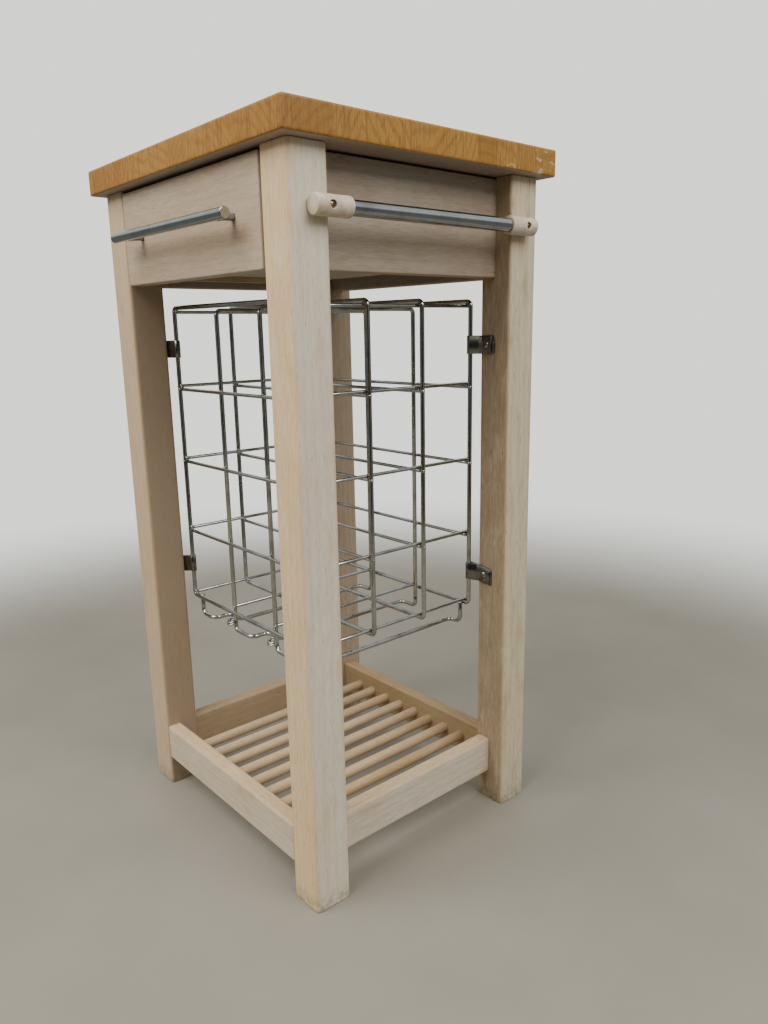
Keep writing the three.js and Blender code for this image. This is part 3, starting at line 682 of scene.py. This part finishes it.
def set_surround():
    """A pale surround that the camera sees brighter than it lights the table, as a lit backdrop
    behind a studio set is. As a light it is dim near the horizon, strongest a third of the way up
    and weaker overhead, which gives bright metal its bands."""
    world = bpy.data.worlds.new("surround")
    bpy.context.scene.world = world
    world.use_nodes = True
    tree = world.node_tree
    background = tree.nodes["Background"]
    background.inputs["Color"].default_value = (*BACKDROP, 1)
    seen = tree.nodes.new("ShaderNodeLightPath").outputs["Is Camera Ray"]
    where = tree.nodes.new("ShaderNodeTexCoord").outputs["Generated"]
    height = tree.nodes.new("ShaderNodeSeparateXYZ")
    tree.links.new(where, height.inputs[0])
    bands = []
    for limits in (NEAR_HORIZON, OVERHEAD):
        band = tree.nodes.new("ShaderNodeMapRange")
        band.interpolation_type = "SMOOTHSTEP"
        for socket, number in zip(("From Min", "From Max", "To Min", "To Max"), limits):
            band.inputs[socket].default_value = number
        tree.links.new(height.outputs[Z], band.inputs["Value"])
        bands.append(band.outputs["Result"])
    share = tree.nodes.new("ShaderNodeMath")
    share.operation = "MULTIPLY"
    tree.links.new(bands[0], share.inputs[0])
    tree.links.new(bands[1], share.inputs[1])
    fill = tree.nodes.new("ShaderNodeMath")
    fill.operation = "MULTIPLY"
    fill.inputs[1].default_value = FILL
    tree.links.new(share.outputs[0], fill.inputs[0])
    strength = tree.nodes.new("ShaderNodeMapRange")
    strength.inputs["To Max"].default_value = BACKDROP_GLOW
    tree.links.new(fill.outputs[0], strength.inputs["To Min"])
    tree.links.new(seen, strength.inputs["Value"])
    tree.links.new(strength.outputs["Result"], background.inputs["Strength"])


def add_floor():
    """A plain floor with a faint trowelled mottle, which thins out behind the table into the
    backdrop, so that no horizon shows."""
    reach = 3.0
    corners = [(-reach, -reach, 0), (reach, -reach, 0), (reach, reach, 0), (-reach, reach, 0)]
    mesh = bpy.data.meshes.new("floor")
    mesh.from_pydata(corners, [], [(0, 1, 2, 3)])
    floor = put_in_scene("floor", mesh)
    f = Finish("pale_floor")
    where = f.place()
    trowel = f.noise(where, 2.2, 4.0, 0.6)
    tone = f.mix(f.band(trowel, 0.3, 0.7), (0.225, 0.21, 0.17), (0.255, 0.24, 0.20))
    away = f.add("ShaderNodeVectorMath", {"operation": "LENGTH"}, i0=where).outputs["Value"]
    f.feed(f.shader.inputs["Alpha"], f.band(away, 0.95, 2.1, 1.0, 0.0))
    mesh.materials.append(f.done(tone, 0.6, Specular_IOR_Level=0.2))


def set_stage():
    """The surround and floor, a key softbox high on the drawer side, a paler one high on the right,
    and a black card low on the camera's side."""
    set_surround()
    add_floor()
    target = (0, 0, 0.5)
    add_softbox("key_softbox", (-0.1, -1.7, 2.6), target, (1.9, 1.9), 95.0, (1.0, 0.965, 0.91))
    add_softbox("right_softbox", (2.1, 0.2, 2.5), target, (1.6, 1.6), 60.0, (1.0, 0.985, 0.96))
    add_flag("camera_side_card", (1.75, -1.4, 0.75), 2.4, 2.0)


set_camera()
set_stage()

# -------- top
low, high = span("block_top")
top_ease = TOP_EDGE - LEAST_CORNER
top = {"nodes": ["block_top"], "slot": "butcher_block"}
add_board("top_slab", low, high, Z, butcher_block_finish(), TOP_EDGE, top_ease, **top)

# -------- legs
for index, (node, (tan, pale)) in enumerate(LEG_TONES_LIT_AND_SHADED.items()):
    low, high = span(node)
    # Front faces take the tan and side faces the pale tone, as painted light and shade.
    faces = {"tan_painted_light_faces": [FRONT], "pale_painted_light_faces": [RIGHT, LEFT]}
    finish = limed_wood(f"{node}_wood", Z, tan, pale, shift_for(index), feet=True, **faces)
    add_board(f"{node}_square", low, high, Z, finish, LEG_EDGE, LEG_EASE, nodes=[node], slot="limed_leg")

inner_low = span("leg_front_left")[1]
inner_high = span("leg_back_right")[0]


# -------- rails and aprons
def add_rail(node, along, finish, radius, ease, body=TABLE):
    """A board between two legs; the tenons at its ends are hidden in them and left out."""
    low, high = span(node)
    low[along] = inner_low[along]
    high[along] = inner_high[along]
    add_board(f"{node}_board", low, high, along, finish, radius, ease, body, [node], "limed_board")


# Each rail's tan goes on its top and its pale on its outer face, and the back and left rails are darker:
# painted light and shade.
SHELF_RAILS = [
    ("shelf_rail_front", X, FRONT, (0.56, 0.40, 0.22), (0.61, 0.52, 0.40)),
    ("shelf_rail_back", X, BACK, (0.34, 0.235, 0.12), (0.39, 0.28, 0.155)),
    ("shelf_rail_right", Y, RIGHT, (0.52, 0.375, 0.22), (0.62, 0.55, 0.445)),
    ("shelf_rail_left", Y, LEFT, (0.37, 0.265, 0.15), (0.43, 0.325, 0.20)),
]
for index, (node, along, outer, tan, pale) in enumerate(SHELF_RAILS):
    faces = {"tan_painted_light_faces": [UP], "pale_painted_light_faces": [outer]}
    finish = limed_wood(f"{node}_wood", along, tan, pale, shift_for(10 + index), **faces)
    add_rail(node, along, finish, RAIL_EDGE, RAIL_EASE)
for index, (node, along) in enumerate([("apron_back", X), ("apron_right", Y), ("apron_left", Y)]):
    finish = limed_wood(f"{node}_wood", along, APRON_TAN, APRON_PALE, shift_for(20 + index))
    add_rail(node, along, finish, APRON_EDGE, APRON_EASE)

low, high = span("drawer_front")
finish = limed_wood("drawer_front_wood", X, FRONT_TAN, FRONT_PALE, shift_for(30), edge=0.25)
front_ease = FRONT_EDGE - LEAST_CORNER
front = {"body": DRAWER, "nodes": ["drawer_front"], "slot": "limed_board"}
add_board("drawer_front_board", low, high, Y, finish, FRONT_EDGE, front_ease, **front)

# -------- shelf dowels
DOWELS = 8
DOWEL_EASE = 0.4 * MM
front_face = span("shelf_rail_front")[1][Y]
back_face = span("shelf_rail_back")[0][Y]
for index in range(DOWELS):
    node = f"shelf_dowel_{index + 1}"
    low, high = span(node)
    middle = (low + high) / 2
    radius = (high[X] - low[X]) / 2
    start = np.array([middle[X], front_face - DOWEL_BITE, middle[Z]])
    length = back_face - front_face + 2 * DOWEL_BITE
    share = float(random_tones.uniform(0.35, 1))
    tan = tuple(np.array(DOWEL_WARM) * (1 - share) + np.array(DOWEL_TAN) * share)
    finish = limed_wood(f"dowel_wood_{index + 1}", Y, tan, DOWEL_PALE, shift_for(40 + index), flecks=0.3)
    part = turned(bar_profile(length, radius, DOWEL_EASE), start, Y)
    add_piece(f"{node}_round", part, finish, nodes=[node])

# -------- drawer box and its runners
SIDE_TONES = ((0.46, 0.34, 0.21), (0.55, 0.45, 0.32))
PANEL_TONES = ((0.42, 0.34, 0.25), (0.50, 0.43, 0.34))


def refinish(node, finish):
    """New wood on a frame node that stays as it is."""
    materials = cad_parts[node].data.materials
    materials.clear()
    materials.append(finish)


box_wood = limed_wood("drawer_box_wood", Y, *SIDE_TONES, shift_for(60), flecks=0.4)
panel_wood = limed_wood("drawer_panel_wood", X, *PANEL_TONES, shift_for(61), flecks=0.3)
for node in ("side_left", "side_right", "back", "runner_left", "runner_right"):
    refinish(f"drawer_{node}", box_wood)
refinish("drawer_bottom", panel_wood)

# -------- drawer handle
HANDLE_EASE = 0.8 * MM
POST_FLARE = 1.6 * MM  # how much wider a post is where it meets the drawer
BAR_SIDES = 64
low, high = span("handle_bar")
radius = (high[Z] - low[Z]) / 2
middle = centre_of("handle_bar")
start = np.array([low[X], middle[Y], middle[Z]])
bar = turned(bar_profile(high[X] - low[X], radius, HANDLE_EASE), start, X, BAR_SIDES)
add_piece("handle_bar_round", bar, chrome, DRAWER, ["handle_bar"])
for side in ("left", "right"):
    node = f"handle_post_{side}"
    low, high = span(node)
    post = (high[X] - low[X]) / 2
    length = high[Y] - low[Y] + SEAT_GAP
    reach = np.linspace(0, 1, 9)
    flare = post + POST_FLARE * (1 - reach) ** 3
    profile = np.concatenate([
        [[-0.5 * radius, 0.2 * MM], [-0.5 * radius, post * 0.9]],
        np.stack([reach * length, flare], axis=1),
        [[length, 0.2 * MM]],
    ])
    part = turned(profile, np.array([centre_of(node)[X], low[Y], centre_of(node)[Z]]), Y)
    add_piece(f"{node}_turned", part, chrome, DRAWER, [node])

# -------- towel rail
TOWEL_BAR_EASE = 0.5 * MM
SCREW_INSET = 18.5 * MM  # from a holder's outer end
SCREW_RECESS = 4.2 * MM  # radius of the screw's dish
SCREW_SLOPE = 0.8 * MM  # width of the dish's wall
SCREW_DEPTH = 2.8 * MM
TOWEL_SCREW = (3.1 * MM, 1.3 * MM)  # radius and rise of the head
HOLDER_ROUND = 2.2 * MM
HOLDER_DOME = 0.7 * MM
HOLDER_STEPS = 72
tube_low, tube_high = span("towel_bar")
tube_radius = (tube_high[Z] - tube_low[Z]) / 2
tube_middle = centre_of("towel_bar")
part = turned(
    bar_profile(tube_high[Y] - tube_low[Y], tube_radius, TOWEL_BAR_EASE),
    np.array([tube_middle[X], tube_low[Y], tube_middle[Z]]),
    Y,
    BAR_SIDES,
)
add_piece("towel_bar_tube", part, chrome, nodes=["towel_bar"])


def holder_part(node, side):
    """A turned wooden end: radius over length is flat, then a quarter circle and a shallow dome (a
    parabola) at the outer end. Its back is pressed flat against the leg, and a round dish is sunk
    for the screw head."""
    low, high = span(node)
    radius = (high[Z] - low[Z]) / 2
    length = high[Y] - low[Y]
    middle_x = high[X] - radius
    middle_z = (low[Z] + high[Z]) / 2
    turn = np.linspace(0, math.pi / 2, 14)
    straight = length - HOLDER_ROUND - HOLDER_DOME
    body = np.linspace(0.6 * MM, straight, HOLDER_STEPS)
    outer = straight + HOLDER_ROUND * np.sin(turn)
    outer_radius = radius - HOLDER_ROUND + HOLDER_ROUND * np.cos(turn)
    crown = np.linspace(radius - HOLDER_ROUND, 0.3 * MM, 7)[1:]
    crown_along = length - HOLDER_DOME * (crown / (radius - HOLDER_ROUND)) ** 2
    along = np.concatenate([[0, 0, 0.2 * MM], body, outer[1:], crown_along])
    mouth = [tube_radius, radius - 0.8 * MM, radius - 0.25 * MM]
    reach = np.concatenate([mouth, np.full(HOLDER_STEPS, radius), outer_radius[1:], crown])
    angle = np.linspace(0, 2 * math.pi, 128, endpoint=False)
    x = middle_x + reach[:, None] * np.cos(angle)
    z = middle_z + reach[:, None] * np.sin(angle)
    start = high[Y] if side < 0 else low[Y]
    y = np.broadcast_to((start + side * along)[:, None], x.shape)
    x = np.maximum(x, low[X])
    screw_y = start + side * (length - SCREW_INSET)
    away = np.hypot(y - screw_y, z - middle_z)
    dish = np.where(x > middle_x, np.clip((SCREW_RECESS - away) / SCREW_SLOPE, 0, 1), 0)
    x = x - SCREW_DEPTH * dish * dish * (3 - 2 * dish)
    seat = np.array([middle_x + radius - SCREW_DEPTH, screw_y, middle_z])
    return tube_part(np.stack([x, y, z], axis=-1)), dish, seat


def screw_part(place, facing, radius, rise):
    """A domed screw head with a cross cut into it: the dome is a part of a sphere, and the cut is
    deepest on two crossing bars that fade out towards the rim. Facing is the axis and its sign."""
    along, sign = facing
    u, v = other_axes(along)
    out = np.linspace(0.02, 1, 22)[:, None] * radius
    angle = np.linspace(0, 2 * math.pi, 64, endpoint=False)[None]
    across, upward = out * np.cos(angle), out * np.sin(angle)
    dome = rise * (1 - (out / radius) ** 2) + 0 * angle
    arm = 0.16 * radius
    cross = np.minimum(np.abs(across), np.abs(upward))
    cut = np.clip((arm - cross) / (0.5 * arm), 0, 1)
    fade = np.clip((0.62 * radius - out) / (0.12 * radius), 0, 1)
    height = dome - 0.9 * rise * (cut * fade)
    rings = np.zeros((*height.shape, 3))
    rings[..., along] = place[along] + sign * height
    rings[..., u] = place[u] + across
    rings[..., v] = place[v] + upward
    skirt = rings[-1:].copy()
    skirt[..., along] = place[along] - sign * 1.0 * MM
    return tube_part(np.concatenate([rings, skirt]))


for side, row in ((-1, "front"), (1, "back")):
    node = f"towel_holder_{row}"
    part, dish, seat = holder_part(node, side)
    # The dish's share rides along in the wear attribute, where the finish paints shade into it.
    add_piece(f"{node}_turned", part, holder_finish(side + 2), nodes=[node], wear=dish)
    screw = screw_part(seat, (X, 1), *TOWEL_SCREW)
    add_piece(f"towel_screw_{row}", screw, brass)

# -------- bottle rack
FIRST_JOG = 0.4  # where a lower wire turns in from the front, as a share of its cell's width
SECOND_JOG = 0.71  # and where it turns to the back
JOG_DEPTH = 26 * MM
frame_low, frame_high = span("rack_frame_1")
wire = (frame_high[Y] - frame_low[Y]) / 2
left_x, right_x = frame_low[X] + wire, frame_high[X] - wire
floor_z, top_z = frame_low[Z] + wire, frame_high[Z] - wire
cross_low, cross_high = span("rack_side_wire_left_2")
cross = (cross_high[Z] - cross_low[Z]) / 2
rung_zs = [span(f"rack_side_wire_left_{i}")[0][Z] - SEAT_GAP - cross for i in (2, 3, 4)]
frame_ys = [centre_of(f"rack_frame_{i}")[Y] for i in (1, 2, 3, 4)]
beads = []

for index, y in enumerate(frame_ys):
    node = f"rack_frame_{index + 1}"
    loop = [(left_x, y, floor_z), (right_x, y, floor_z), (right_x, y, top_z), (left_x, y, top_z)]
    parts = [wire_part(loop, wire, closed=True)]
    for z in rung_zs:
        parts.append(wire_part([(left_x + WIRE_END, y, z), (right_x - WIRE_END, y, z)], cross))
        beads += [((x, y, z), (1.15 * wire, 1.12 * wire, 1.3 * cross)) for x in (left_x, right_x)]
    add_piece(f"{node}_wires", joined(parts), wire_chrome, nodes=[node])

divider_xs = []
for side in ("left", "right"):
    node = f"rack_divider_{side}"
    low, high = span(node)
    x = (low[X] + high[X]) / 2
    divider_xs.append(x)
    near, far = low[Y] + wire, high[Y] - wire
    crown = high[Z] - wire
    loop = [(x, near, low[Z]), (x, near, crown), (x, far, crown), (x, far, low[Z])]
    floor_wire = floor_z + wire + cross + SEAT_GAP
    parts = [wire_part(loop, wire), wire_part([(x, near, floor_wire), (x, far, floor_wire)], cross)]
    add_piece(f"{node}_wires", joined(parts), wire_chrome, nodes=[node])
    for z in (*rung_zs, floor_z):
        for post_y, frame_y in ((near, frame_ys[0]), (far, frame_ys[3])):
            beads.append(((x, (post_y + frame_y) / 2, z), (0.9 * wire, 0.9 * wire, 1.1 * cross)))
    for frame_y in frame_ys[1:3]:
        beads.append(((x, frame_y, floor_z + wire), (0.9 * cross, 1.2 * cross, 0.8 * cross)))
        beads.append(((x, frame_y, top_z - wire), (0.9 * wire, 0.9 * wire, 0.8 * wire)))

post_xs = [left_x, *divider_xs, right_x]
for cell in range(3):
    node = f"rack_lower_wire_{cell + 1}"
    low, high = span(node)
    lower_z = low[Z] + wire
    near, far = low[Y] + wire, high[Y] - wire
    first_x, last_x = low[X] + wire, high[X] - wire
    start_z = floor_z if cell == 0 else high[Z]
    end_z = floor_z if cell == 2 else high[Z]
    cell_width = post_xs[cell + 1] - post_xs[cell]
    jog = post_xs[cell] + FIRST_JOG * cell_width
    second = post_xs[cell] + SECOND_JOG * cell_width
    inward = near + JOG_DEPTH
    corners = [
        (first_x, near, start_z), (first_x, near, lower_z), (jog, near, lower_z), (jog, inward, lower_z),
        (second, inward, lower_z), (second, far, lower_z), (last_x, far, lower_z), (last_x, far, end_z),
    ]
    part = wire_part(corners, wire, LOWER_BEND)
    add_piece(f"{node}_bent", part, wire_chrome, nodes=[node])

for side in ("left", "right"):
    for level in range(1, 6):
        node = f"rack_side_wire_{side}_{level}"
        low, high = span(node)
        middle = (low + high) / 2
        ends = [(middle[X], y, middle[Z]) for y in (low[Y] + WIRE_END, high[Y] - WIRE_END)]
        add_piece(f"{node}_straight", wire_part(ends, cross), wire_chrome, nodes=[node])
        for y in frame_ys:
            under = -1 if level < 5 else 1
            beads.append(((middle[X], y, middle[Z] + under * cross), (1.1 * cross, 1.2 * cross, 0.9 * cross)))

EYELET_REACH = 6.0 * MM  # an eyelet's middle line from its centre
EYELET_DROP = 17.5 * MM  # below the floor wires
eyelets = []
for foot in ("rack_lower_wire_2", "rack_lower_wire_3"):
    foot_low = span(foot)[0]
    turn = np.linspace(0, 2 * math.pi, 20, endpoint=False)
    away = wire + EYELET_REACH + 0.5 * cross
    for coil in (0, 1):
        drop = EYELET_DROP + coil * 1.3 * cross
        centre = np.array([foot_low[X] + wire - away, foot_low[Y] + wire, floor_z - drop])
        flat_ring = np.stack([np.cos(turn), 0.95 * np.sin(turn), 0.3 * np.sin(turn)], axis=1)
        eyelets.append(ring_part(centre + EYELET_REACH * flat_ring, 0.6 * cross))
add_piece("rack_eyelets", joined(eyelets), wire_chrome)

weld_parts = [bead_part(np.array(place), np.array(size)) for place, size in beads]
add_piece("rack_welds", joined(weld_parts), wire_chrome)

# -------- rack clips
CLIP_THICKNESS = 1.1 * MM
CLIP_ROUND = 3.0 * MM  # corners of a leaf's free end
CLIP_EDGE = 0.3 * MM  # softened edges of the strap
CLIP_INSET = 0.4 * MM  # how much lower than its node a strap is, above and below
CLIP_OPENING = math.radians(30)  # how far short of square the loop round the post stops
CLIP_SCREW = 21 * MM  # from the post's middle
CLIP_HEAD = (4.2 * MM, 1.9 * MM)  # radius and rise of the screw's head
UPPER_CLIP = {"short": 4.5 * MM, "tilt": 0.0, "round": CLIP_ROUND}
LOWER_CLIP = {"short": 3.0 * MM, "tilt": -0.16, "round": 7.0 * MM}  # these hang down a little


def strap_part(line, round_end, half_height, middle_z, centre, tilt):
    """A flat strap on edge: a thin upright section carried along a centre line in plan. Its height
    stays full and closes by a quarter circle at the free end, so the end's corners are round. The
    tilt raises or lowers it by a share of its distance from the centre."""
    ahead = directions(line)
    across = np.stack([-ahead[:, 1], ahead[:, 0]], axis=1)
    run = np.concatenate([[0], np.cumsum(np.linalg.norm(np.diff(line, axis=0), axis=1))])
    left = np.clip(round_end - (run[-1] - run), 0, round_end)
    half = half_height - round_end + np.sqrt(np.maximum(round_end**2 - left**2, 0))
    t, soft = CLIP_THICKNESS / 2, CLIP_EDGE
    upper = [(-t, 1, -soft), (-t + soft, 1, 0), (t - soft, 1, 0), (t, 1, -soft)]
    lower = [(offset, -1, -ease) for offset, _, ease in upper[::-1]]
    section = upper + lower
    rings = np.zeros((len(line), len(section), 3))
    for i, (offset, sign, ease) in enumerate(section):
        rings[:, i, :2] = line + offset * across
        rings[:, i, 2] = sign * half + ease
    lean = tilt * np.abs(rings[..., 0] - centre[0])
    rings[..., 2] += middle_z + lean
    return tube_part(rings)


def filled_in(run):
    """A run of points with eight even steps along each of its straight stretches."""
    stretches = [np.linspace(a, b, 9)[:-1] for a, b in zip(run[:-1], run[1:])]
    return np.concatenate(stretches + [run[-1:]])


def leaf_line(run):
    """A leaf's centre line: the run filled in, with finer steps where its free end is rounded."""
    last = (run[-1] - run[-2]) / np.linalg.norm(run[-1] - run[-2])
    tail = run[-1] - last * np.linspace(CLIP_ROUND, 0, 9)[:, None]
    return np.concatenate([filled_in(run[:-1]), tail])


def add_clip(node, side_x, side_y, kind):
    """A strap folded round the corner post: one leaf runs from the post's near side to the leg and
    along it; the other comes back over the first and stops a little short. A screw holds both."""
    low, high = span(node)
    middle_z = (low[Z] + high[Z]) / 2
    half_height = (high[Z] - low[Z]) / 2 - CLIP_INSET
    post = np.array([left_x if side_x < 0 else right_x, frame_ys[0] if side_y < 0 else frame_ys[3]])
    face = abs((high[Y] if side_y > 0 else low[Y]) - post[1])
    end = (high[X] - post[0]) if side_x > 0 else (post[0] - low[X])
    t = CLIP_THICKNESS
    wrap = wire + SEAT_GAP + t / 2
    angle = np.linspace(math.pi / 2 + CLIP_OPENING, 3 * math.pi / 2 + CLIP_OPENING * 0.4, 16)
    loop = np.stack([wrap * np.cos(angle), wrap * np.sin(angle)], axis=1)
    # Each leaf's points: the distance from the post, and how far off the leg in thicknesses.
    back = np.stack([end * np.array([1, 0.6, 0.36, 0.26]), face - t * np.array([0.5, 0.5, 0.5, 1])], axis=1)
    fore_xs = [end * 0.3, end * 0.4, end * 0.6, end - kind["short"]]
    fore = np.stack([fore_xs, face - t * np.array([3.2, 1.6, 1.6, 1.6])], axis=1)
    leaf_one = leaf_line(np.concatenate([loop[:8][::-1], back[::-1]]))
    leaf_two = leaf_line(np.concatenate([loop[7:], fore]))
    sides = np.array([side_x, side_y])
    tilt = kind["tilt"]
    parts = [
        strap_part(post + leaf * sides, round_end, half_height, middle_z, post, tilt)
        for leaf, round_end in ((leaf_one, CLIP_ROUND), (leaf_two, kind["round"]))
    ]
    name = node.replace("rack_clip", "clip")
    add_piece(f"{name}_strap", joined(parts), zinc, nodes=[node])
    head_y = post[1] + side_y * (face - 2.1 * t)
    place = np.array([post[0] + side_x * CLIP_SCREW, head_y, middle_z + tilt * CLIP_SCREW])
    add_piece(f"{name}_screw", screw_part(place, (Y, -side_y), *CLIP_HEAD), dark_zinc)


for side_y, row in ((-1, "front"), (1, "back")):
    for side_x, column in ((-1, "left"), (1, "right")):
        for level, kind in (("lower", LOWER_CLIP), ("upper", UPPER_CLIP)):
            add_clip(f"rack_clip_{row}_{column}_{level}", side_x, side_y, kind)
